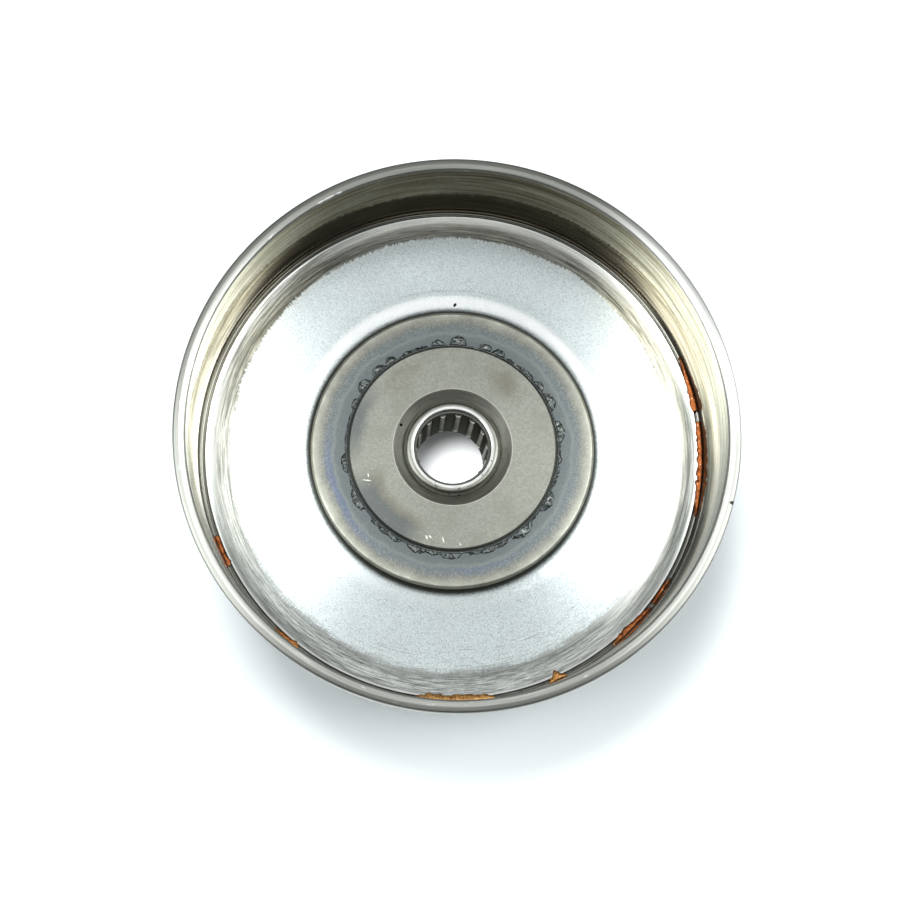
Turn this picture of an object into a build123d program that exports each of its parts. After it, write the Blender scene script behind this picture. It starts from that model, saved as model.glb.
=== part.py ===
from build123d import *
import os

# Needle bearing
needle_count = 15
needle_dia = 1.5
needle_chamfer = 0.2
needle_start_deg = 79.7  # from +X, so that a roller stands where it shows at the back of the bore
race_clearance = 0.01
pocket_clearance = 0.03
pocket_end_clearance = 0.1
shell_dia = 14.0
shell_length = 12.0
shell_sheet = 0.48
shell_round = 0.8
lip_width = 0.97
lip_round = 0.12
cage_ring = 0.67
cage_shaft_clearance = 0.19
cage_race_clearance = 0.25
cage_end_clearance = 0.15

# Hub and sprocket
tooth_count = 7
tip_dia = 33.2
root_dia = 22.4
tooth_length = 11.2
tooth_end_chamfer = 0.8
gap_round = 3.0
gap_mouth = 8.8
gap_overrun = 1.0  # how far a gap runs out past the tips
flange_dia = 35.0
boss_dia = 30.0
boss_edge_chamfer = 0.2
boss_stand = 0.75
cone_width = 1.55
cone_depth = 1.2
bore_end_chamfer = 0.5
shell_sink = 0.2

# Drum
drum_dia = 76.2
wall = 1.75
sheet = 1.8
floor_height = 14.3
rim_height = 28.25
cup_corner = 3.5
rim_round = 0.5
rim_chamfer = 0.38
plateau_dia = 40.9
plateau_rise = 1.2
plateau_edge = 0.5
plateau_foot = 0.6
recess_inset = 1.1
recess_round = 0.4
groove_width = 0.7
groove_depth = 0.25
upturn_width = 2.3
upturn_rise = 0.22
upturn_round = 6.0

# Weld flash round the boss: where its lumps stand, clockwise from +Y, and how far each reaches out
flash_width = 0.7
flash_height = 0.45
lump_height = 0.5
lump_top = 0.6  # share of its foot that the top of a lump keeps
lumps = (
    (352, 1.35),
    (4, 1.85),
    (18, 1.4),
    (26, 1.4),
    (44, 1.0),
    (54, 1.3),
    (64, 1.55),
    (81, 1.45),
    (96, 0.9),
    (120, 1.45),
    (140, 1.45),
    (154, 1.0),
    (162, 1.2),
    (169, 1.0),
    (181, 1.25),
    (199, 1.2),
    (212, 1.0),
    (219, 1.0),
    (226, 0.9),
    (241, 1.35),
    (262, 1.2),
    (295, 1.05),
    (306, 1.65),
    (317, 1.4),
    (325, 1.45),
)

# Copper left in the corner groove: first and last angle of each run, clockwise from +Y
copper_height = 0.3
copper_runs = (
    (67.4, 80.8),
    (83.3, 105.6),
    (121.3, 128.2),
    (129.3, 141.4),
    (153.8, 158.2),
    (170.8, 188.8),
    (217.3, 224.2),
    (241.8, 249.4),
)

# Sizes that follow
bore_radius = shell_dia / 2
race_radius = bore_radius - shell_sheet
lip_radius = race_radius - lip_width
needle_radius = needle_dia / 2
pitch_radius = race_radius - race_clearance - needle_radius
cage_inner = pitch_radius - needle_radius + cage_shaft_clearance
cage_outer = race_radius - cage_race_clearance
cage_length = shell_length - 2 * shell_sheet - 2 * cage_end_clearance
pocket_length = cage_length - 2 * cage_ring
needle_length = pocket_length - 2 * pocket_end_clearance
boss_radius = boss_dia / 2
plateau_height = floor_height + plateau_rise
plateau_under = plateau_height - sheet
floor_under = floor_height - sheet
corner_height = floor_height + upturn_rise
hub_height = plateau_height + boss_stand
shell_top = hub_height - shell_sink
shell_bottom = shell_top - shell_length
shell_middle = (shell_top + shell_bottom) / 2
drum_radius = drum_dia / 2
inner_radius = drum_radius - wall
plateau_radius = plateau_dia / 2


def clockwise(angle):
    return 90 - angle


def section(points):
    return make_face(Polyline(*points, close=True))


def rounded(face, point, radius):
    corner = face.vertices().sort_by_distance((*point, 0))[0]
    return fillet(corner, radius)


def turned(face, degrees=360):
    return revolve(Plane.XZ * face, axis=Axis.Z, revolution_arc=degrees)


def drum_cup():
    outer_corner = (drum_radius, floor_under)
    outer_rim = (drum_radius, rim_height)
    recess_corner = (plateau_radius - recess_inset, plateau_under)
    plateau_corner = (plateau_radius, plateau_height)
    foot_corner = (plateau_radius, floor_height)
    upturn_start = (inner_radius - upturn_width, floor_height)
    face = section(
        [
            (boss_radius, plateau_under),
            recess_corner,
            (plateau_radius - recess_inset, floor_under),
            outer_corner,
            outer_rim,
            (inner_radius + rim_chamfer, rim_height),
            (inner_radius, rim_height - rim_chamfer),
            (inner_radius, corner_height),
            (inner_radius - groove_width, corner_height),
            upturn_start,
            foot_corner,
            plateau_corner,
            (boss_radius, plateau_height),
        ]
    )
    face = rounded(face, outer_corner, cup_corner)
    face = rounded(face, outer_rim, rim_round)
    face = rounded(face, recess_corner, recess_round)
    face = rounded(face, upturn_start, upturn_round)
    face = rounded(face, plateau_corner, plateau_edge)
    face = rounded(face, foot_corner, plateau_foot)
    return turned(face) - turned(section(groove_outline()))


def groove_outline():
    # a shallow relief at the foot of the wall, narrower at its bottom, where the floor has turned up a little
    bottom = floor_height - groove_depth
    slope = groove_width / 4
    return [
        (inner_radius - groove_width, corner_height),
        (inner_radius - groove_width + slope, bottom),
        (inner_radius - slope, bottom),
        (inner_radius, corner_height),
    ]


def sprocket():
    tip = tip_dia / 2
    face = section(
        [
            (bore_radius + bore_end_chamfer, 0),
            (tip - tooth_end_chamfer, 0),
            (tip, tooth_end_chamfer),
            (tip, tooth_length),
            (flange_dia / 2, tooth_length),
            (flange_dia / 2, plateau_under),
            (boss_radius, plateau_under),
            (boss_radius, hub_height - boss_edge_chamfer),
            (boss_radius - boss_edge_chamfer, hub_height),
            (bore_radius + cone_width, hub_height),
            (bore_radius, hub_height - cone_depth),
            (bore_radius, bore_end_chamfer),
        ]
    )
    return turned(face) - tooth_gaps()


def tooth_gaps():
    # each gap is round at the root and opens towards the tips
    bottom = root_dia / 2 + gap_round
    mouth = tip_dia / 2 + gap_overrun
    flare = section(
        [
            (bottom, -gap_round),
            (mouth, -gap_mouth / 2),
            (mouth, gap_mouth / 2),
            (bottom, gap_round),
        ]
    )
    gap = flare + Pos(bottom, 0) * Circle(gap_round)
    gaps = PolarLocations(0, tooth_count) * gap
    return extrude(Sketch() + gaps, tooth_length)


def weld_flash():
    foot = boss_radius + flash_width
    face = section(
        [
            (boss_radius, plateau_height),
            (foot, plateau_height),
            (boss_radius + flash_width / 2, plateau_height + flash_height * 0.8),
            (boss_radius, plateau_height + flash_height),
        ]
    )
    flash = turned(face)
    for angle, reach in lumps:
        lump = Cone(reach, reach * lump_top, lump_height, align=(Align.CENTER, Align.CENTER, Align.MIN))
        flash += Rot(0, 0, clockwise(angle)) * Pos(boss_radius, 0, plateau_height) * lump
    boss = Pos(0, 0, plateau_height) * Cylinder(boss_radius, 4 * lump_height)
    return flash - boss


def copper_traces():
    # the groove filled up and rising to the wall as a small fillet
    face = section(groove_outline() + [(inner_radius, corner_height + copper_height)])
    return Compound([Rot(0, 0, clockwise(last)) * turned(face, last - first) for first, last in copper_runs])


def bearing_shell():
    top_corner = (bore_radius, shell_top)
    bottom_corner = (bore_radius, shell_bottom)
    face = section(
        [
            (lip_radius, shell_bottom),
            bottom_corner,
            top_corner,
            (lip_radius, shell_top),
            (lip_radius, shell_top - shell_sheet),
            (race_radius, shell_top - shell_sheet),
            (race_radius, shell_bottom + shell_sheet),
            (lip_radius, shell_bottom + shell_sheet),
        ]
    )
    face = rounded(face, top_corner, shell_round)
    face = rounded(face, bottom_corner, shell_round)
    face = rounded(face, (lip_radius, shell_top), lip_round)
    face = rounded(face, (lip_radius, shell_bottom), lip_round)
    return turned(face)


def needle_places():
    step = 360 / needle_count
    angles = [needle_start_deg + step * n for n in range(needle_count)]
    return [Rot(0, 0, a) * Pos(pitch_radius, 0, shell_middle) for a in angles]


def needle_cage():
    cage = Pos(0, 0, shell_middle) * Cylinder(cage_outer, cage_length)
    cage -= Pos(0, 0, shell_middle) * Cylinder(cage_inner, cage_length)
    pocket = Cylinder(needle_radius + pocket_clearance, pocket_length)
    for place in needle_places():
        cage -= place * pocket
    return cage


def needle_roller(place):
    roller = Cylinder(needle_radius, needle_length)
    roller = chamfer(roller.edges().filter_by(GeomType.CIRCLE), needle_chamfer)
    return place * roller


def nodes():
    made = {
        "drum_cup": drum_cup(),
        "sprocket": sprocket(),
        "weld_flash": weld_flash(),
        "copper_traces": copper_traces(),
        "bearing_shell": bearing_shell(),
        "needle_cage": needle_cage(),
    }
    for number, place in enumerate(needle_places(), 1):
        made[f"needle_roller_{number:02d}"] = needle_roller(place)
    return made


os.makedirs("parts", exist_ok=True)
for name, solid in nodes().items():
    export_step(solid, f"parts/{name}.step")
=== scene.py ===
import bpy
import math
from mathutils import Euler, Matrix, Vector, noise


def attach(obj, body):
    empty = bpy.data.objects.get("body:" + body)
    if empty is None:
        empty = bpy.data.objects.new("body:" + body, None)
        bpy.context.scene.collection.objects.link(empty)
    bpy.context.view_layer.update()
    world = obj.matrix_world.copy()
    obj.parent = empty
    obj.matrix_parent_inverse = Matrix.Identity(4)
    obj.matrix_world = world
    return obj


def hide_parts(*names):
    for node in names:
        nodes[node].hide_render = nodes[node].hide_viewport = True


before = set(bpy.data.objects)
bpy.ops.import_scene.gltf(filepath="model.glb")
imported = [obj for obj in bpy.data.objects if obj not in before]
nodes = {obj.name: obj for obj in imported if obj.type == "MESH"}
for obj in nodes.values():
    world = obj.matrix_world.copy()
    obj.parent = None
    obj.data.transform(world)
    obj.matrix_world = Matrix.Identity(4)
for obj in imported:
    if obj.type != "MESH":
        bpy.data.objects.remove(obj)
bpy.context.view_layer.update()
mm = 0.001
bpy.ops.object.select_all(action="DESELECT")
print("frame loaded:", len(nodes), "nodes")


# camera and colours

cameraSet = {
    "place": (-9.056, -40.441, 184.612),  # mm
    "turn": (8.925, -0.45, 0.02),  # degrees
    "lens": 48.13,
    "shift": (0.057, 0.1033),
}


def placeCamera():
    data = bpy.data.cameras.new("camera")
    cam = bpy.data.objects.new("camera", data)
    bpy.context.scene.collection.objects.link(cam)
    cam.location = Vector(cameraSet["place"]) * mm
    cam.rotation_euler = Euler([math.radians(a) for a in cameraSet["turn"]])
    data.sensor_width = 36
    data.lens = cameraSet["lens"]
    data.shift_x, data.shift_y = cameraSet["shift"]
    data.clip_start = 0.01
    bpy.context.scene.camera = cam


stageSet = {
    "paper": (0.85, 0.905, 0.925, 1),
    "paperSize": 6.0,
    "paperGlow": 0.06,  # the paper shines a little by itself
    "boreGlow": 1.2,  # stands in for the daylight under the bore
    "room": 0.03,  # brightness of the room round the lamps
    "horizon": 0.5,
    # soft lamps in the sky: direction (x, y), half size, turn in degrees, brightness
    "lamps": (
        ((-0.46, 0.02), (0.39, 0.22), 38, 4.7),
        ((0.52, 0.1), (0.29, 0.24), -15, 5.6),
        ((0.02, 0.2), (0.18, 0.36), 0, 1.15),
    ),
    "lampEdge": 0.3,
    "paperLamp": ((-0.1, 0.2, 0.55), 0.16, 2.5),  # place in m, size, power
}


def buildStage():
    bpy.ops.mesh.primitive_plane_add(size=stageSet["paperSize"], location=(0, 0, 0))
    paper = bpy.context.active_object
    paper.name = "paper"
    mat, tree, skin = newMaterial("paper", Metallic=0.0, Roughness=0.85)
    skin.inputs["Base Color"].default_value = stageSet["paper"]
    skin.inputs["Emission Color"].default_value = (0.97, 0.99, 1.0, 1)
    at = whereAmI(tree)
    inBore = spotMask(tree, at, (2.0, -1.6), (5.4, 5.4), 0, 0.45)
    glow = calc(tree, "MULTIPLY_ADD", inBore, stageSet["boreGlow"], stageSet["paperGlow"])
    wire(tree, skin.inputs["Emission Strength"], glow)
    paper.data.materials.append(mat)
    place, size, watts = stageSet["paperLamp"]
    bpy.ops.object.light_add(type="AREA", location=place)
    lamp = bpy.context.active_object
    lamp.name = "paperLamp"
    lamp.rotation_euler = Vector(place).to_track_quat("Z", "Y").to_euler()
    lamp.data.size = size
    lamp.data.energy = watts
    lamp.visible_glossy = False  # for the paper, the steel doesn't mirror it
    world = bpy.data.worlds.new("studio")
    world.use_nodes = True
    bpy.context.scene.world = world
    tree = world.node_tree
    sky = tree.nodes["Background"]
    way = put(tree, "TexCoord").outputs["Generated"]
    power = stageSet["room"]
    for spot, size, turn, bright in stageSet["lamps"]:
        lamp = spotMask(tree, {"mm": way}, spot, size, turn, stageSet["lampEdge"])
        power = calc(tree, "MULTIPLY_ADD", lamp, bright, power)
    up = put(tree, "SeparateXYZ", {0: way}).outputs[2]
    power = calc(tree, "ADD", power, ease(tree, up, 0.15, 0.5, stageSet["horizon"], 0.0))
    power = calc(tree, "MULTIPLY", power, ease(tree, up, -0.05, 0.05))
    sky.inputs["Color"].default_value = (0.985, 0.997, 0.995, 1)
    tree.links.new(power, sky.inputs["Strength"])
    bpy.context.scene.view_settings.view_transform = "Standard"
    print("stage set")


# node helpers

def wire(tree, socket, value):
    if isinstance(value, bpy.types.NodeSocket):
        tree.links.new(value, socket)
    else:
        socket.default_value = value


def put(tree, kind, inputs=None, **props):
    made = tree.nodes.new("ShaderNode" + kind)
    for key, value in props.items():
        setattr(made, key, value)
    for key, value in (inputs or {}).items():
        wire(tree, made.inputs[key], value)
    return made


def calc(tree, operation, a, b=0.0, c=0.0):
    return put(tree, "Math", {0: a, 1: b, 2: c}, operation=operation).outputs[0]


def ease(tree, value, low, high, toLow=0.0, toHigh=1.0):  # smooth step from low to high
    inputs = {"Value": value, "From Min": low, "From Max": high, "To Min": toLow, "To Max": toHigh}
    return put(tree, "MapRange", inputs, interpolation_type="SMOOTHSTEP").outputs["Result"]


def colour(red, green, blue):  # screen values 0-255 to linear
    def linear(v):
        v = v / 255
        return v / 12.92 if v <= 0.04045 else ((v + 0.055) / 1.055) ** 2.4
    return (linear(red), linear(green), linear(blue), 1.0)


def tint(tree, factor, a, b, way="MIX"):
    made = put(tree, "Mix", data_type="RGBA", blend_type=way)
    wire(tree, made.inputs[0], factor)
    wire(tree, made.inputs[6], a)
    wire(tree, made.inputs[7], b)
    return made.outputs[2]


def newMaterial(name, **skinValues):
    mat = bpy.data.materials.new(name)
    mat.use_nodes = True
    tree = mat.node_tree
    skin = tree.nodes["Principled BSDF"]
    skin.inputs["Metallic"].default_value = 1.0
    for key, value in skinValues.items():
        skin.inputs[key].default_value = value
    return mat, tree, skin


def whereAmI(tree):  # place in mm, radius in mm, angle in degrees clockwise from +Y
    place = put(tree, "TexCoord").outputs["Object"]
    inMm = put(tree, "VectorMath", {0: place, 1: (1000, 1000, 1000)}, operation="MULTIPLY").outputs["Vector"]
    x, y, z = put(tree, "SeparateXYZ", {0: inMm}).outputs
    flat = put(tree, "CombineXYZ", {0: x, 1: y}).outputs[0]
    radius = put(tree, "VectorMath", {0: flat}, operation="LENGTH").outputs["Value"]
    turn = calc(tree, "MULTIPLY", calc(tree, "ARCTAN2", x, y), 180 / math.pi)
    angle = calc(tree, "FLOORED_MODULO", turn, 360)
    around = put(tree, "VectorMath", {0: flat}, operation="NORMALIZE").outputs["Vector"]
    return {"mm": inMm, "z": z, "radius": radius, "angle": angle, "around": around, "flat": flat}


def streaks(tree, at, across, around, scale, detail=5.0, rough=0.6):  # noise drawn out round the axis
    stretch = (around, around, 0)
    ring = put(tree, "VectorMath", {0: at["around"], 1: stretch}, operation="MULTIPLY").outputs["Vector"]
    lift = put(tree, "CombineXYZ", {2: calc(tree, "MULTIPLY", across, scale)}).outputs[0]
    spot = put(tree, "VectorMath", {0: ring, 1: lift}, operation="ADD").outputs["Vector"]
    inputs = {"Vector": spot, "Scale": 1.0, "Detail": detail, "Roughness": rough}
    return put(tree, "TexNoise", inputs).outputs["Fac"]


def grain(tree, at, perMm, detail=3.0, rough=0.6):
    inputs = {"Vector": at["mm"], "Scale": perMm, "Detail": detail, "Roughness": rough}
    return put(tree, "TexNoise", inputs).outputs["Fac"]


def dent(tree, skin, height, strength, depthMm):
    made = put(tree, "Bump", {"Strength": strength, "Distance": depthMm * mm, "Height": height})
    tree.links.new(made.outputs["Normal"], skin.inputs["Normal"])


def spotMask(tree, at, centre, size, turn, soft=0.3):  # 1 in an ellipse on the XY plane, mm and degrees
    inputs = {
        "Vector": at["mm"],
        "Location": (centre[0], centre[1], 0),
        "Rotation": (0, 0, math.radians(turn)),
        "Scale": (size[0], size[1], 1e6),
    }
    spot = put(tree, "Mapping", inputs, vector_type="TEXTURE").outputs["Vector"]
    away = put(tree, "VectorMath", {0: spot}, operation="LENGTH").outputs["Value"]
    return ease(tree, away, 1 - soft, 1 + soft, 1.0, 0.0)


def onRing(angle, radius):  # XY in mm of an angle clockwise from +Y
    return (radius * math.sin(math.radians(angle)), radius * math.cos(math.radians(angle)))


def arcMask(tree, at, centre, half, soft):  # 1 within half degrees of centre
    off = calc(tree, "FLOORED_MODULO", calc(tree, "ADD", at["angle"], 180 - centre), 360)
    away = calc(tree, "ABSOLUTE", calc(tree, "SUBTRACT", off, 180))
    return ease(tree, away, half - soft, half + soft, 1.0, 0.0)


def ringMask(tree, value, low, high, soft):  # 1 between low and high
    rise = ease(tree, value, low - soft, low + soft)
    return calc(tree, "MULTIPLY", rise, ease(tree, value, high - soft, high + soft, 1.0, 0.0))


def times(tree, *factors):
    made = factors[0]
    for factor in factors[1:]:
        made = calc(tree, "MULTIPLY", made, factor)
    return made


def centred(tree, value, amount):  # noise round zero
    return calc(tree, "MULTIPLY", calc(tree, "SUBTRACT", value, 0.5), amount)


# drum

drumSet = {
    "steps": 360,
    # radius and height in mm, rounding radius, segments of the rounding
    "profile": (
        (15.0, 13.7, 0, 0),
        (19.35, 13.7, 0.4, 4),
        (19.35, 12.5, 0, 0),
        (38.1, 12.5, 3.5, 12),
        (38.1, 28.25, 0.3, 4),
        (36.58, 28.25, 0.03, 1),
        (36.35, 28.0, 0.05, 2),
        (36.35, 14.28, 0, 0),
        (36.16, 14.26, 0.04, 2),
        (36.1, 14.05, 0.03, 1),
        (35.85, 14.05, 0.08, 2),
        (35.7, 14.56, 0.05, 2),
        (35.1, 14.4, 0.5, 5),
        (34.0, 14.3, 0.9, 6),
        (32.2, 14.3, 0, 0),
        (26.0, 14.3, 0, 0),
        (20.45, 14.3, 0.6, 6),
        (20.45, 15.5, 0.5, 6),
        (17.0, 15.5, 0, 0),
        (15.0, 15.5, 0, 0),
    ),
}


def pickVertices(obj, test):  # in edit mode, selects the vertices that pass
    bpy.ops.mesh.select_all(action="DESELECT")
    bpy.ops.object.mode_set(mode="OBJECT")
    for v in obj.data.vertices:
        v.select = test(v.co / mm)
    bpy.ops.object.mode_set(mode="EDIT")


def spinDrum():
    profile = drumSet["profile"]
    bpy.ops.mesh.primitive_plane_add(size=mm, location=(0, 0, 0))
    drum = bpy.context.active_object
    drum.name = "drum"
    bpy.ops.object.mode_set(mode="EDIT")
    bpy.ops.mesh.select_mode(type="VERT")
    bpy.ops.mesh.select_all(action="SELECT")
    bpy.ops.mesh.merge(type="CENTER")
    bpy.ops.transform.translate(value=(profile[0][0] * mm, 0, profile[0][1] * mm))
    for last, here in zip(profile, profile[1:]):
        step = ((here[0] - last[0]) * mm, 0, (here[1] - last[1]) * mm)
        bpy.ops.mesh.extrude_region_move(TRANSFORM_OT_translate={"value": step})
    first, end = profile[0], profile[-1]
    pickVertices(drum, lambda c: any((c - Vector((p[0], 0, p[1]))).length < 1e-3 for p in (first, end)))
    bpy.ops.mesh.edge_face_add()
    for r, z, rounding, segments in profile:
        if rounding:
            pickVertices(drum, lambda c: (c - Vector((r, 0, z))).length < 1e-3)
            bpy.ops.mesh.bevel(offset=rounding * mm, segments=segments, affect="VERTICES")
    bpy.ops.mesh.select_all(action="SELECT")
    bpy.ops.mesh.spin(steps=drumSet["steps"], angle=2 * math.pi, center=(0, 0, 0), axis=(0, 0, 1))
    bpy.ops.mesh.select_all(action="SELECT")
    bpy.ops.mesh.remove_doubles(threshold=0.002 * mm)
    bpy.ops.mesh.normals_make_consistent(inside=False)
    bpy.ops.object.mode_set(mode="OBJECT")
    bpy.ops.object.shade_smooth_by_angle(angle=math.radians(28))
    for mat in (floorSteel(), plateauSteel(), trackSteel(), rimSteel(), bandSteel(), underSteel()):
        drum.data.materials.append(mat)
    for face in drum.data.polygons:
        face.material_index = drumZone(face.center / mm, face.normal)
    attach(drum, "drum")
    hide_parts("drum_cup")
    print("drum spun:", len(drum.data.polygons), "faces")
    return drum


def drumZone(c, n):
    r = math.hypot(c.x, c.y)
    if c.z > 27.75:
        return 3  # rim
    if r > 36.3 and c.z > 14.3 and n.x * c.x + n.y * c.y < 0:
        return 2  # inner wall
    if r > 37.95:
        return 4  # outer wall
    if n.z > -0.2 and r < 20.5 and c.z > 14.95:
        return 1  # plateau
    if n.z > -0.2 and c.z > 14.0 and r < 36.4:
        return 0  # floor
    return 5


def floorSteel():  # satin sheet, with the corner turned away in a ring
    mat, tree, skin = newMaterial("floorSteel", Anisotropic=0.85)
    at = whereAmI(tree)
    radius = at["radius"]
    fine = grain(tree, at, 5.0, 2.0, 0.75)
    dots = grain(tree, at, 8.0, 1.0, 0.6)
    soft = grain(tree, at, 0.16, 2.0)
    lines = streaks(tree, at, radius, 4.0, 3.6, 5.0, 0.75)
    arcs = streaks(tree, at, radius, 7.0, 13.0, 2.0, 0.5)
    flecks = streaks(tree, at, radius, 11.0, 6.5, 4.0, 0.75)
    near = arcMask(tree, at, 188, 58, 24)  # side towards the viewer, where the cut runs out in dashes
    spikes = centred(tree, streaks(tree, at, radius, 190.0, 0.7, 4.0, 0.8), 2.0)
    wander = centred(tree, streaks(tree, at, radius, 2.2, 0.0, 2.0), 1.6)
    ragged = times(tree, centred(tree, flecks, 4.5), near)
    edge = calc(tree, "ADD", calc(tree, "ADD", radius, spikes), calc(tree, "ADD", wander, ragged))
    cutStart = calc(tree, "MULTIPLY_ADD", near, -0.9, 32.2)
    cut = ease(tree, edge, cutStart, calc(tree, "MULTIPLY_ADD", near, 0.2, 32.34))
    satin = tint(tree, ease(tree, dots, 0.3, 0.6), colour(190, 201, 204), colour(243, 254, 255))
    satin = tint(tree, ease(tree, soft, 0.35, 0.65, 0.0, 0.2), satin, colour(212, 219, 222))
    rubbedGlow = ringMask(tree, radius, 21.5, 23.3, 0.7)  # rubbed matt round the plateau, scratched in all directions, with a painted highlight that is weaker on the near side
    rubbedGlow = times(tree, rubbedGlow, calc(tree, "MULTIPLY_ADD", arcMask(tree, at, 180, 75, 35), -0.7, 1.0))
    # painted highlight: the floor is lightened towards white round the plateau
    satin = tint(tree, times(tree, rubbedGlow, 0.7), satin, colour(255, 255, 255))
    scored = times(tree, ringMask(tree, radius, 28.4, 31.6, 0.5), ease(tree, arcs, 0.64, 0.68))
    scored = times(tree, scored, arcMask(tree, at, 165, 48, 14), 0.75)
    satin = tint(tree, scored, satin, colour(84, 88, 86))
    hairline = times(tree, ringMask(tree, radius, 24.1, 24.3, 0.05), ease(tree, arcs, 0.4, 0.6))
    hairline = times(tree, hairline, arcMask(tree, at, 358, 16, 8), 0.35)
    satin = tint(tree, hairline, satin, colour(110, 116, 118))
    turned = tint(tree, ease(tree, lines, 0.36, 0.64), colour(112, 115, 108), colour(218, 220, 212))
    turned = tint(tree, ease(tree, radius, 33.2, 35.3, 0.0, 0.75), turned, colour(226, 229, 225))
    shaded = times(tree, arcMask(tree, at, 311, 24, 12), ease(tree, lines, 0.4, 0.62, 0.8, 0.35))
    turned = tint(tree, shaded, turned, colour(92, 92, 82))
    worn = tint(tree, ease(tree, flecks, 0.36, 0.64), colour(88, 95, 93), colour(236, 241, 239))
    worn = tint(tree, ease(tree, dots, 0.35, 0.65, 0.0, 0.35), worn, colour(118, 125, 122))
    worn = tint(tree, ease(tree, radius, 32.4, 33.9, 0.45, 0.0), worn, colour(92, 98, 97))
    turned = tint(tree, times(tree, near, 0.8), turned, worn)
    aside = arcMask(tree, at, 102, 30, 14)  # on the right the cut has a painted highlight inside and painted shade outside; painted shade also on the lower left
    # painted highlight on the inner part of the cut on the right
    shining = times(tree, aside, ease(tree, radius, 33.3, 33.9, 0.75, 0.0))
    turned = tint(tree, shining, turned, colour(250, 252, 250))
    # painted shade on the outer part of the cut, on the right and lower left
    outerBandShade = calc(tree, "MAXIMUM", aside, times(tree, arcMask(tree, at, 234, 22, 12), 0.8))
    outerBandShade = times(tree, outerBandShade, ringMask(tree, radius, 34.1, 35.4, 0.25))
    outerBandShade = times(tree, outerBandShade, ease(tree, lines, 0.35, 0.65, 0.85, 0.45))
    turned = tint(tree, outerBandShade, turned, colour(98, 104, 98))
    body = tint(tree, cut, satin, turned)
    # painted highlight along the raised edge of the floor
    edgeHighlight = times(tree, ringMask(tree, radius, 35.45, 35.7, 0.06), 0.8)
    body = tint(tree, edgeHighlight, body, colour(248, 250, 248))
    # painted shade in the corner against the wall, past r 36.1, and in the groove, less at the top
    body = tint(tree, times(tree, ease(tree, radius, 36.08, 36.12), 0.75), body, colour(120, 118, 106))
    grooveShade = calc(tree, "SUBTRACT", 0.75, times(tree, arcMask(tree, at, 345, 60, 20), 0.4))
    grooveShade = times(tree, ringMask(tree, radius, 35.78, 36.06, 0.04), grooveShade)
    body = tint(tree, grooveShade, body, colour(58, 58, 52))
    # painted shade round the foot of the plateau, with a soft noisy outer edge; it also makes the floor
    # rougher there
    noisyRadius = calc(tree, "ADD", radius, centred(tree, fine, 0.45))
    plateauFootShade = times(tree, ringMask(tree, noisyRadius, 19.6, 21.25, 0.45), 0.95)
    body = tint(tree, plateauFootShade, body, colour(56, 58, 52))
    speck = spotMask(tree, at, onRing(1.5, 21.95), (0.32, 0.2), 60)
    body = tint(tree, speck, body, colour(22, 20, 18))
    wire(tree, skin.inputs["Base Color"], body)
    rough = calc(tree, "MULTIPLY_ADD", cut, -0.1, 0.32)
    rough = calc(tree, "MULTIPLY_ADD", times(tree, near, cut), 0.1, rough)
    wire(tree, skin.inputs["Roughness"], calc(tree, "MULTIPLY_ADD", plateauFootShade, 0.15, rough))
    crossed = times(tree, rubbedGlow, centred(tree, dots, 9.0))  # scratches in all directions there
    grainWay = put(tree, "VectorRotate", {"Vector": at["flat"], "Angle": crossed}, rotation_type="Z_AXIS")
    wire(tree, skin.inputs["Tangent"], grainWay.outputs["Vector"])
    dent(tree, skin, times(tree, fine, calc(tree, "SUBTRACT", 1.0, cut)), 0.25, 0.02)
    return mat


def plateauSteel():  # heat tint round the weld, with a painted highlight on the rounded outer edge and painted shade in the crevice by the hub
    mat, tree, skin = newMaterial("plateauSteel", Roughness=0.44, Anisotropic=0.2)
    at = whereAmI(tree)
    fine = grain(tree, at, 5.0, 2.0, 0.75)
    cloud = grain(tree, at, 0.3, 3.0)
    shifted = calc(tree, "ADD", at["radius"], centred(tree, cloud, 1.5))
    share = calc(tree, "MULTIPLY", calc(tree, "SUBTRACT", shifted, 15), 1 / 6)
    marks = (
        (0.0, (98, 104, 106)),
        (0.30, (106, 113, 114)),
        (0.37, (122, 128, 127)),
        (0.45, (104, 113, 117)),
        (0.58, (110, 116, 115)),
        (0.68, (132, 133, 124)),
        (0.82, (166, 168, 157)),
        # the last stop is a painted highlight on the rounded outer edge
        (0.88, (204, 206, 194)),
    )
    tone = rampOf(tree, share, marks)
    weakArc = times(tree, arcMask(tree, at, 168, 14, 12), 0.5)
    blueArc = calc(tree, "MAXIMUM", arcMask(tree, at, 248, 22, 16), weakArc)
    blue = times(tree, ringMask(tree, shifted, 17.5, 18.5, 0.35), blueArc)
    tone = tint(tree, times(tree, blue, ease(tree, fine, 0.3, 0.6, 0.1, 0.5)), tone, colour(86, 101, 146))
    sparkle = times(tree, ease(tree, fine, 0.35, 0.75), ease(tree, at["radius"], 16.8, 18.6, 0.07, 0.26))
    tone = tint(tree, sparkle, tone, colour(212, 213, 205))
    # painted shade in the crevice by the weld bead
    crevice = ease(tree, at["radius"], 15.4, 15.55, 0.7, 0.0)
    wire(tree, skin.inputs["Base Color"], tint(tree, crevice, tone, colour(42, 45, 44)))
    wire(tree, skin.inputs["Tangent"], at["flat"])
    dent(tree, skin, fine, 0.2, 0.02)
    return mat


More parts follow.
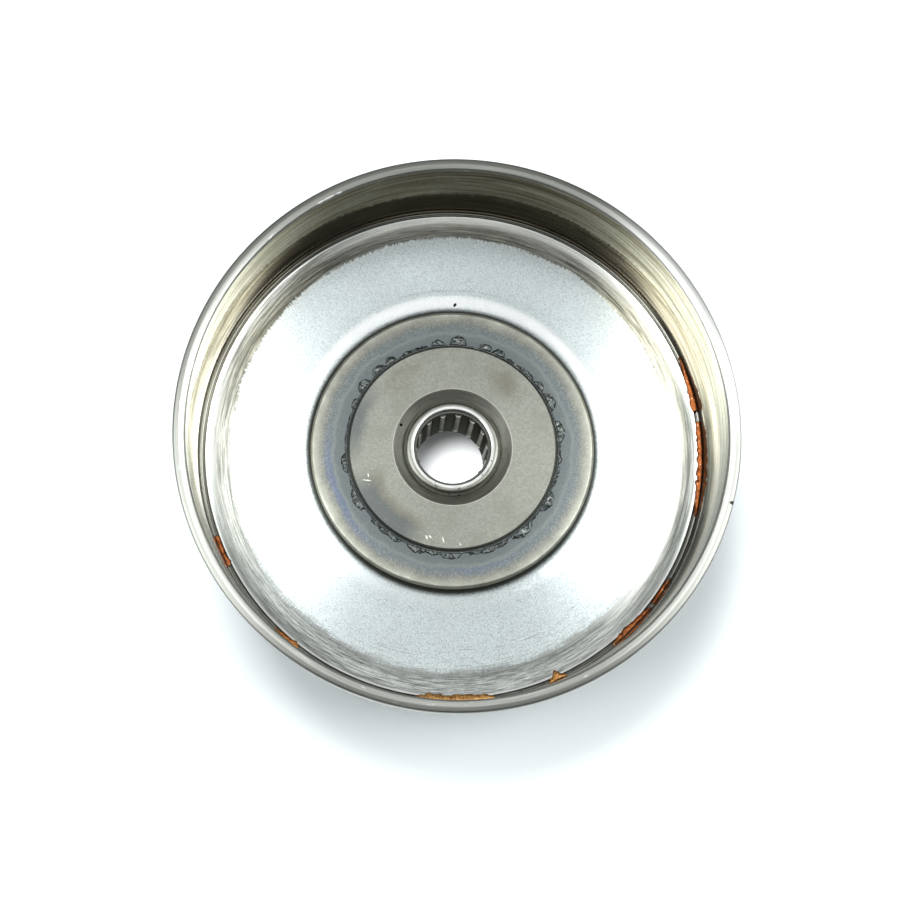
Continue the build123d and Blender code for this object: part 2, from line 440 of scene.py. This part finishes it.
def trackSteel():  # inside of the wall, polished and tinted by the clutch shoes, with painted shade low down and at some angles and a painted highlight on the near side
    mat, tree, skin = newMaterial("trackSteel", Anisotropic=0.35)
    at = whereAmI(tree)
    lines = streaks(tree, at, at["z"], 1.8, 2.2, 5.0, 0.75)
    broad = streaks(tree, at, at["z"], 2.4, 0.9, 3.0)
    tone = tint(tree, ease(tree, lines, 0.34, 0.66), colour(116, 105, 80), colour(222, 213, 189))
    tone = tint(tree, ease(tree, broad, 0.42, 0.62, 0.0, 0.5), tone, colour(150, 136, 106))
    noisyHeight = calc(tree, "ADD", at["z"], centred(tree, lines, 1.0))
    # browner and darker towards the bottom of the wall
    tone = tint(tree, ease(tree, noisyHeight, 15.2, 20.5, 0.4, 0.0), tone, colour(120, 110, 88))
    # painted shade in the corner at the foot of the wall
    tone = tint(tree, ease(tree, noisyHeight, 14.45, 15.0, 0.8, 0.0), tone, colour(34, 32, 27))
    # painted highlight on the near side; painted shade at 324 and 110 degrees
    tone = tint(tree, times(tree, arcMask(tree, at, 180, 70, 30), 0.4), tone, colour(232, 230, 220))
    tone = tint(tree, times(tree, arcMask(tree, at, 324, 14, 10), 0.4), tone, colour(92, 82, 62))
    tone = tint(tree, times(tree, arcMask(tree, at, 110, 20, 12), 0.45), tone, colour(104, 106, 99))
    # painted shade at the foot of the wall above the copper on the right; the wall is rougher there too
    copperSideShade = times(tree, arcMask(tree, at, 100, 45, 6), ease(tree, noisyHeight, 15.4, 16.6, 0.85, 0.0))
    tone = tint(tree, copperSideShade, tone, colour(48, 38, 29))
    wire(tree, skin.inputs["Base Color"], tone)
    rough = ease(tree, lines, 0.3, 0.7, 0.12, 0.06)
    wire(tree, skin.inputs["Roughness"], calc(tree, "MULTIPLY_ADD", copperSideShade, 0.5, rough))
    wire(tree, skin.inputs["Tangent"], put(tree, "CombineXYZ", {2: 1.0}).outputs[0])
    dent(tree, skin, lines, 0.05, 0.01)
    return mat


def rimSteel():
    mat, tree, skin = newMaterial("rimSteel", Roughness=0.3, Anisotropic=0.85)
    at = whereAmI(tree)
    lines = streaks(tree, at, at["radius"], 3.0, 5.0)
    worn = streaks(tree, at, at["radius"], 16.0, 2.0)
    tone = tint(tree, ease(tree, lines, 0.3, 0.7), colour(174, 176, 170), colour(212, 214, 208))
    tone = tint(tree, ease(tree, worn, 0.62, 0.7), tone, colour(236, 238, 234))
    # painted shade on the outer rounding and across the top, painted highlight at 62 degrees
    tone = tint(tree, ease(tree, at["radius"], 37.2, 37.35, 0.0, 0.7), tone, colour(122, 124, 118))
    tone = tint(tree, times(tree, arcMask(tree, at, 352, 45, 25), 0.5), tone, colour(124, 125, 119))
    tone = tint(tree, times(tree, arcMask(tree, at, 62, 22, 12), 0.6), tone, colour(250, 251, 248))
    notch = spotMask(tree, at, onRing(106, 37.9), (0.26, 0.4), -106)
    tone = tint(tree, notch, tone, colour(48, 46, 42))
    for angle, long in ((329.5, 0.5), (331.5, 0.9), (334, 0.4)):
        nick = spotMask(tree, at, onRing(angle, 36.62), (long, 0.16), -angle)
        tone = tint(tree, nick, tone, colour(252, 252, 248))
    wire(tree, skin.inputs["Base Color"], tone)
    wire(tree, skin.inputs["Tangent"], at["flat"])
    dent(tree, skin, lines, 0.2, 0.02)
    return mat


def bandSteel():  # outside of the wall, where the brake band runs
    mat, tree, skin = newMaterial("bandSteel", Roughness=0.3, Anisotropic=0.5)
    at = whereAmI(tree)
    lines = streaks(tree, at, at["z"], 2.0, 6.0, 6.0)
    tone = tint(tree, ease(tree, lines, 0.3, 0.7), colour(150, 148, 142), colour(200, 199, 193))
    wire(tree, skin.inputs["Base Color"], tone)
    wire(tree, skin.inputs["Tangent"], put(tree, "CombineXYZ", {2: 1.0}).outputs[0])
    dent(tree, skin, lines, 0.2, 0.02)
    return mat


def underSteel():
    mat, tree, skin = newMaterial("underSteel", Roughness=0.42)
    at = whereAmI(tree)
    fine = grain(tree, at, 3.0)
    wire(tree, skin.inputs["Base Color"], tint(tree, fine, colour(140, 141, 142), colour(190, 191, 191)))
    dent(tree, skin, fine, 0.2, 0.02)
    return mat


def rampOf(tree, share, marks):  # colour ramp from (place, screen colour) pairs
    ramp = put(tree, "ValToRGB", {0: share})
    stops = ramp.color_ramp.elements
    while len(stops) < len(marks):
        stops.new(0.5)
    for stop, (spot, shade) in zip(stops, marks):
        stop.position = spot
        stop.color = colour(*shade)
    return ramp.outputs["Color"]


# hub and bearing

hubSet = {
    # angle clockwise from +Y, radius, half size in mm, turn in degrees, strength
    "stains": ((38, 12.5, (3.2, 1.7), -50, 0.34), (324, 12.6, (3.0, 1.5), 40, 0.3)),
    # angle, radius, half size, turn
    "scratches": (
        (176, 14.2, (0.12, 0.2), 0),
        (186, 13.6, (0.1, 0.42), 12),
        (194, 13.5, (0.3, 0.1), -40),
        (196, 13.7, (0.12, 0.3), 20),
        (248, 13.2, (0.62, 0.08), -6),
        (251, 12.8, (0.08, 0.3), 8),
    ),
}


def hubSteel():  # turned face and cone inside the drum, teeth below it
    mat, tree, skin = newMaterial("hubSteel", Anisotropic=0.15)
    at = whereAmI(tree)
    fine = grain(tree, at, 3.6, 2.0, 0.7)
    cloud = grain(tree, at, 0.28, 3.0)
    lines = streaks(tree, at, at["radius"], 3.0, 10.0, 5.0)
    tone = tint(tree, ease(tree, fine, 0.25, 0.75), colour(131, 133, 125), colour(156, 158, 149))
    tone = tint(tree, ease(tree, cloud, 0.45, 0.7, 0.0, 0.5), tone, colour(130, 132, 122))
    for angle, out, size, turn, strength in hubSet["stains"]:
        stain = spotMask(tree, at, onRing(angle, out), size, turn, 0.6)
        stain = times(tree, stain, ease(tree, cloud, 0.3, 0.6, 0.3, 1.0), strength)
        tone = tint(tree, stain, tone, colour(92, 82, 66))
    wavy = calc(tree, "ADD", at["radius"], centred(tree, cloud, 2.0))
    rust = times(tree, arcMask(tree, at, 226, 24, 9), ringMask(tree, wavy, 11.3, 13.0, 0.7), 0.45)
    tone = tint(tree, rust, tone, colour(104, 96, 82))
    blueing = times(tree, arcMask(tree, at, 226, 23, 10), ringMask(tree, wavy, 12.4, 16.0, 0.8), 0.75)
    alsoBlue = times(tree, arcMask(tree, at, 285, 17, 12), ringMask(tree, wavy, 13.0, 16.0, 0.8), 0.7)
    blueing = calc(tree, "MAXIMUM", blueing, alsoBlue)
    tone = tint(tree, blueing, tone, colour(88, 95, 97))
    specks = times(tree, ease(tree, grain(tree, at, 4.2, 1.0), 0.7, 0.77), 0.3)
    tone = tint(tree, specks, tone, colour(232, 232, 226))
    for angle, out, size, turn in hubSet["scratches"]:
        scratch = times(tree, spotMask(tree, at, onRing(angle, out), size, turn), ease(tree, fine, 0.3, 0.5))
        tone = tint(tree, scratch, tone, colour(236, 236, 226))
    outerLine = ringMask(tree, at["radius"], 14.72, 14.84, 0.04)
    tone = tint(tree, times(tree, outerLine, 0.7), tone, colour(70, 74, 72))
    inCone = ease(tree, at["radius"], 8.6, 8.9, 1.0, 0.0)
    inCone = times(tree, ease(tree, at["z"], 16.16, 16.22, 1.0, 0.0), inCone)
    turned = tint(tree, ease(tree, lines, 0.3, 0.7), colour(136, 138, 130), colour(172, 174, 165))
    tone = tint(tree, inCone, tone, turned)
    # painted highlight on the edge of the chamfer round the bore
    chamferHighlight = times(tree, ringMask(tree, at["radius"], 8.42, 8.62, 0.06), ease(tree, at["z"], 16.0, 16.1))
    tone = tint(tree, times(tree, chamferHighlight, 0.7), tone, colour(206, 206, 198))
    pit = spotMask(tree, at, onRing(294, 8.1), (0.22, 0.2), 0)
    tone = tint(tree, pit, tone, colour(18, 17, 15))
    below = ease(tree, at["z"], 12.9, 13.4, 1.0, 0.0)
    oily = grain(tree, at, 0.22, 4.0)
    tooth = tint(tree, ease(tree, fine, 0.3, 0.7), colour(128, 127, 123), colour(158, 157, 152))
    tooth = tint(tree, ease(tree, oily, 0.45, 0.7, 0.0, 0.8), tooth, colour(70, 66, 58))
    tone = tint(tree, below, tone, tooth)
    wire(tree, skin.inputs["Base Color"], tone)
    rough = ease(tree, fine, 0.3, 0.7, 0.36, 0.46)
    wire(tree, skin.inputs["Roughness"], calc(tree, "MULTIPLY_ADD", inCone, 0.08, rough))
    wire(tree, skin.inputs["Tangent"], at["flat"])
    height = calc(tree, "ADD", fine, calc(tree, "MULTIPLY", calc(tree, "SUBTRACT", lines, fine), inCone))
    dent(tree, skin, height, 0.2, 0.02)
    return mat


def shellSteel():  # polished lips; pressed shoulders rougher, and darker with painted shade
    mat, tree, skin = newMaterial("shellSteel")
    at = whereAmI(tree)
    lines = streaks(tree, at, at["radius"], 4.0, 9.0)
    shoulder = ease(tree, at["radius"], 5.92, 6.1)
    bright = tint(tree, ease(tree, lines, 0.3, 0.7), colour(206, 208, 205), colour(240, 242, 239))
    # painted shade on the rounded shoulders
    shoulderShade = tint(tree, ease(tree, lines, 0.3, 0.7), colour(124, 125, 118), colour(152, 153, 145))
    tone = tint(tree, shoulder, bright, shoulderShade)
    nicks = times(tree, ease(tree, grain(tree, at, 1.1, 2.0), 0.64, 0.7), arcMask(tree, at, 150, 55, 15), 0.8)
    tone = tint(tree, nicks, tone, colour(60, 58, 52))
    wire(tree, skin.inputs["Base Color"], tone)
    wire(tree, skin.inputs["Roughness"], calc(tree, "MULTIPLY_ADD", shoulder, 0.2, 0.14))
    dent(tree, skin, lines, 0.1, 0.01)
    return mat


# weld flash round the hub

flashSet = {
    "bead": (15.28, 0.09, 15.56),  # radius, thickness and height of the bead along the joint, mm
    # angle clockwise from +Y, half width in degrees, reach from the hub and height in mm
    "lumps": (
        (3.6, 4.6, 1.85, 0.62),
        (18.4, 4.4, 1.38, 0.52),
        (26.2, 4.0, 1.38, 0.52),
        (36.0, 6.0, 0.85, 0.30),
        (44.5, 6.0, 1.02, 0.34),
        (54.0, 3.6, 1.32, 0.50),
        (63.8, 5.6, 1.55, 0.58),
        (80.8, 6.6, 1.46, 0.55),
        (91.5, 5.0, 0.72, 0.26),
        (96.5, 2.6, 0.92, 0.32),
        (105.0, 7.0, 0.78, 0.28),
        (120.3, 6.4, 1.46, 0.55),
        (130.5, 4.0, 0.66, 0.26),
        (140.5, 7.4, 1.46, 0.55),
        (154.5, 5.5, 1.02, 0.36),
        (161.5, 5.5, 1.18, 0.42),
        (169.0, 3.6, 0.98, 0.34),
        (181.0, 6.2, 1.25, 0.46),
        (191.0, 4.5, 0.92, 0.34),
        (199.3, 6.0, 1.18, 0.44),
        (212.5, 4.6, 1.02, 0.36),
        (219.0, 5.0, 1.02, 0.36),
        (226.0, 3.4, 0.92, 0.32),
        (240.6, 6.8, 1.36, 0.54),
        (251.0, 4.0, 0.62, 0.26),
        (261.6, 5.6, 1.20, 0.46),
        (273.0, 6.0, 0.60, 0.24),
        (284.0, 6.0, 0.58, 0.24),
        (295.2, 3.6, 1.05, 0.38),
        (305.8, 4.4, 1.64, 0.60),
        (317.4, 4.4, 1.42, 0.54),
        (325.5, 3.6, 1.45, 0.55),
        (335.0, 5.0, 0.86, 0.30),
        (343.0, 5.0, 0.86, 0.30),
        (352.4, 4.0, 1.36, 0.50),
    ),
    "hub": 15.0,
    "inside": 15.45,  # the lumps start here, outside the bead
    "middle": 15.45,  # height of the lumps' centres
    "sole": 15.44,  # what is below is cut off
    "flatten": 0.6,
    "voxel": 0.09,
    "grainSize": 0.42,
    "grainDepth": 0.2,
    "keepFaces": 0.26,
}


def deselect():
    bpy.ops.object.select_all(action="DESELECT")


def applyAll(obj):
    bpy.context.view_layer.objects.active = obj
    for mod in list(obj.modifiers):
        bpy.ops.object.modifier_apply(modifier=mod.name)


def castFlash():  # modelled with 1 unit to the mm, which the remesher needs, and brought to size last
    deselect()
    radius, thick, height = flashSet["bead"]
    lumps = []
    for angle, half, reach, rise in flashSet["lumps"]:
        x, y = onRing(angle, radius)
        spot = (x, y, flashSet["middle"])
        turn = (0, 0, -math.radians(angle))
        bpy.ops.mesh.primitive_ico_sphere_add(subdivisions=3, location=spot, rotation=turn)
        lump = bpy.context.active_object
        hub = flashSet["hub"]
        halfWidth = math.radians(half) * (hub + reach / 2)
        lump.scale = (halfWidth, hub + reach - radius, rise * flashSet["flatten"])
        lumps.append(lump)
    for lump in lumps:
        lump.select_set(True)
    flash = lumps[0]
    bpy.context.view_layer.objects.active = flash
    bpy.ops.object.join()
    flash.name = "weldFlash"
    bpy.ops.object.transform_apply(location=True, rotation=True, scale=True)
    skinned = flash.modifiers.new("skin", "REMESH")
    skinned.mode = "VOXEL"
    skinned.voxel_size = flashSet["voxel"]
    for kind, size, depth in (("VORONOI", 1.0, 1.0), ("CLOUDS", 1.5, 1.4)):
        pattern = bpy.data.textures.new("slag" + kind.title(), kind)
        pattern.noise_scale = flashSet["grainSize"] * size
        rough = flash.modifiers.new("rough", "DISPLACE")
        rough.texture = pattern
        rough.texture_coords = "LOCAL"
        rough.strength = flashSet["grainDepth"] * depth
    facets = flash.modifiers.new("facets", "DECIMATE")
    facets.ratio = flashSet["keepFaces"]
    applyAll(flash)
    plugAt = (0, 0, 15.5)
    bpy.ops.mesh.primitive_cylinder_add(vertices=180, radius=flashSet["inside"], depth=4, location=plugAt)
    hubPlug = bpy.context.active_object
    trimmed = flash.modifiers.new("trimmed", "BOOLEAN")
    trimmed.object = hubPlug
    trimmed.operation = "DIFFERENCE"
    applyAll(flash)
    bpy.data.objects.remove(hubPlug)
    deselect()
    bpy.ops.mesh.primitive_torus_add(
        major_radius=radius,
        minor_radius=thick,
        major_segments=240,
        minor_segments=10,
        location=(0, 0, height),
    )
    flash.select_set(True)
    bpy.context.view_layer.objects.active = flash
    bpy.ops.object.join()
    bpy.ops.object.mode_set(mode="EDIT")
    bpy.ops.mesh.select_all(action="SELECT")
    soleAt = (0, 0, flashSet["sole"])
    bpy.ops.mesh.bisect(plane_co=soleAt, plane_no=(0, 0, 1), clear_inner=True, use_fill=True)
    bpy.ops.mesh.select_all(action="SELECT")
    bpy.ops.mesh.remove_doubles(threshold=0.004)
    bpy.ops.mesh.normals_make_consistent(inside=False)
    bpy.ops.object.mode_set(mode="OBJECT")
    flash.scale = (mm, mm, mm)
    bpy.ops.object.transform_apply(location=True, rotation=True, scale=True)
    bpy.ops.object.shade_smooth_by_angle(angle=math.radians(24))
    flash.data.materials.append(flashSteel())
    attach(flash, "drum")
    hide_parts("weld_flash")
    print("weld flash cast:", len(flash.data.polygons), "faces")


def flashSteel():  # painted shade at the bottom of the lumps, a few painted glints
    mat, tree, skin = newMaterial("flashSteel")
    at = whereAmI(tree)
    fine = grain(tree, at, 4.5, 2.0, 0.7)
    cells = put(tree, "TexVoronoi", {"Vector": at["mm"], "Scale": 3.2}).outputs["Color"]
    glint = put(tree, "SeparateColor", {0: cells}).outputs[0]
    tone = tint(tree, ease(tree, fine, 0.3, 0.7), colour(84, 90, 89), colour(132, 139, 137))
    # painted glints on a few grains
    tone = tint(tree, times(tree, ease(tree, glint, 0.88, 0.93), 0.5), tone, colour(190, 195, 190))
    # painted shade at the bottom of the lumps, where they meet the plateau
    foot = ease(tree, calc(tree, "ADD", at["z"], centred(tree, fine, 0.1)), 15.52, 15.62, 1.0, 0.0)
    tone = tint(tree, foot, tone, colour(34, 37, 36))
    wire(tree, skin.inputs["Base Color"], tone)
    wire(tree, skin.inputs["Roughness"], ease(tree, fine, 0.3, 0.7, 0.4, 0.56))
    dent(tree, skin, fine, 0.5, 0.04)
    return mat


# copper that ran into the corner

copperSet = {
    "wallGap": 36.3,  # radius of the side towards the wall, mm
    "bottom": 14.08,
    "edge": (35.7, 14.55, 0.27),  # radius, height and slope of the floor's raised edge
    "lift": 0.14,  # thickness over that edge
    "lean": 0.35,  # how much it rises towards the wall
    "step": 0.25,  # degrees
    "rough": 0.16,
    # for each run, angle clockwise from +Y and width in mm
    "runs": (
        ((67.4, 0.15), (70, 0.35), (72, 0.6), (75, 0.78), (79, 0.8), (80.8, 0.7)),
        ((83.3, 0.5), (85, 0.78), (92, 0.82), (98, 0.78), (102, 0.6), (105.6, 0.15)),
        ((121.3, 0.15), (123.5, 0.5), (126, 0.55), (128.2, 0.3)),
        ((129.3, 0.2), (131, 0.55), (134, 0.75), (137, 0.85), (139.5, 0.65), (141.4, 0.2)),
        ((153.8, 0.25), (155, 0.8), (156.1, 1.5), (156.8, 0.85), (158.2, 0.2)),
        ((170.8, 0.4), (172.3, 0.85), (175, 1.0), (181, 1.02), (186, 1.05), (188.8, 0.5)),
        ((217.3, 0.25), (218.6, 0.85), (219.6, 0.55), (222, 0.5), (224.2, 0.25)),
        ((241.8, 0.3), (242.5, 0.7), (244, 0.45), (247, 0.45), (248.6, 0.65), (249.4, 0.3)),
    ),
}


def between(stations, angle):  # width at an angle, straight from one station to the next
    for (a, wide), (b, wideNext) in zip(stations, stations[1:]):
        if angle <= b:
            share = max(0.0, (angle - a) / (b - a))
            return wide + (wideNext - wide) * share
    return stations[-1][1]


def pourCopper():
    deselect()
    runs = []
    for stations in copperSet["runs"]:
        first, last = stations[0][0], stations[-1][0]
        upright = (math.pi / 2, 0, 0)
        bpy.ops.mesh.primitive_circle_add(vertices=10, radius=0.5 * mm, fill_type="NGON", rotation=upright)
        run = bpy.context.active_object
        bpy.ops.object.transform_apply(location=True, rotation=True, scale=True)
        bpy.ops.object.mode_set(mode="EDIT")
        bpy.ops.mesh.select_all(action="SELECT")
        bpy.ops.transform.translate(value=(copperSet["wallGap"] * mm - 0.5 * mm, 0, 0))
        steps = round((last - first) / copperSet["step"])
        bpy.ops.mesh.spin(steps=steps, angle=math.radians(last - first), center=(0, 0, 0), axis=(0, 0, 1))
        bpy.ops.object.mode_set(mode="OBJECT")
        for v in run.data.vertices:
            shapeRun(v, stations, first)
        runs.append(run)
    for run in runs:
        run.select_set(True)
    bpy.context.view_layer.objects.active = runs[0]
    bpy.ops.object.join()
    copper = bpy.context.active_object
    copper.name = "copperRuns"
    bpy.ops.object.mode_set(mode="EDIT")
    bpy.ops.mesh.select_all(action="SELECT")
    bpy.ops.mesh.remove_doubles(threshold=0.002 * mm)
    bpy.ops.mesh.normals_make_consistent(inside=False)
    bpy.ops.object.mode_set(mode="OBJECT")
    bpy.ops.object.shade_smooth()
    copper.data.materials.append(copperSkin())
    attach(copper, "drum")
    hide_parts("copper_traces")
    print("copper poured:", len(copper.data.polygons), "faces")


def shapeRun(v, stations, first):  # from an even rod to the width and height of the run at that angle
    x, y, z = v.co / mm
    out = math.hypot(x, y)
    angle = first + math.degrees(math.atan2(-y, x))
    wide = between(stations, angle)
    ragged = noise.noise(Vector((angle * 0.9, z * 2, 3.7)))
    ragged += 0.5 * noise.noise(Vector((angle * 2.6, z * 3, 9.1)))
    wide *= 1 + copperSet["rough"] * 1.6 * ragged
    r = copperSet["wallGap"] - (copperSet["wallGap"] - out) * wide
    edge, height, slope = copperSet["edge"]
    top = height - slope * max(0.0, edge - r) + copperSet["lean"] * max(0.0, r - edge)
    top += copperSet["lift"] * (2 * z + copperSet["rough"] * 2 * ragged)
    spot = onRing(angle, r)
    v.co = Vector((spot[0], spot[1], top if z > 0 else copperSet["bottom"])) * mm


def copperSkin():  # redder on the right, golden at the bottom and left, painted glints
    mat, tree, skin = newMaterial("copperSkin")
    at = whereAmI(tree)
    fine = grain(tree, at, 3.2, 3.0, 0.7)
    patch = grain(tree, at, 0.9, 3.0)
    golden = arcMask(tree, at, 182, 34, 18)
    deep = tint(tree, golden, colour(126, 66, 36), colour(184, 122, 60))
    bright = tint(tree, golden, colour(208, 126, 72), colour(250, 198, 126))
    tone = tint(tree, ease(tree, fine, 0.32, 0.66), deep, bright)
    tone = tint(tree, ease(tree, patch, 0.5, 0.68, 0.0, 0.5), tone, colour(124, 64, 36))
    # painted glints on a few grains
    tone = tint(tree, ease(tree, grain(tree, at, 2.1, 1.0), 0.66, 0.72), tone, colour(255, 226, 190))
    wire(tree, skin.inputs["Base Color"], tone)
    wire(tree, skin.inputs["Roughness"], ease(tree, fine, 0.3, 0.7, 0.3, 0.55))
    dent(tree, skin, fine, 0.5, 0.06)
    return mat


def cageFinish():  # oily sheet
    mat, tree, skin = newMaterial("cageSteel", Roughness=0.45)
    skin.inputs["Specular Tint"].default_value = colour(130, 130, 126)
    fine = grain(tree, whereAmI(tree), 3.0)
    wire(tree, skin.inputs["Base Color"], tint(tree, fine, colour(86, 87, 84), colour(98, 99, 95)))
    return mat


def rollerFinish():  # oily rollers, with painted shade at the sides and painted highlights at the ends
    mat, tree, skin = newMaterial("rollerSteel", Roughness=0.22)
    skin.inputs["Specular Tint"].default_value = colour(176, 176, 172)
    at = whereAmI(tree)
    smear = grain(tree, at, 1.3, 3.0)
    tone = tint(tree, ease(tree, smear, 0.35, 0.65), colour(82, 83, 79), colour(114, 115, 110))
    # painted shade at the roller sides, in the gaps by the cage
    tone = tint(tree, ease(tree, at["radius"], 5.13, 5.18), tone, colour(12, 12, 11))
    # painted highlights at the roller ends
    endHighlights = calc(tree, "MAXIMUM", ease(tree, at["z"], 13.9, 14.3), ease(tree, at["z"], 5.8, 6.2, 1.0, 0.0))
    wire(tree, skin.inputs["Base Color"], tint(tree, endHighlights, tone, colour(236, 235, 230)))
    return mat


def dress(name, mat):
    node = nodes[name]
    node.data.materials.clear()
    node.data.materials.append(mat)


placeCamera()
buildStage()
spinDrum()
castFlash()
pourCopper()
dress("sprocket", hubSteel())
dress("bearing_shell", shellSteel())
dress("needle_cage", cageFinish())
rollerSteel = rollerFinish()
for name in nodes:
    if name.startswith("needle_roller"):
        dress(name, rollerSteel)
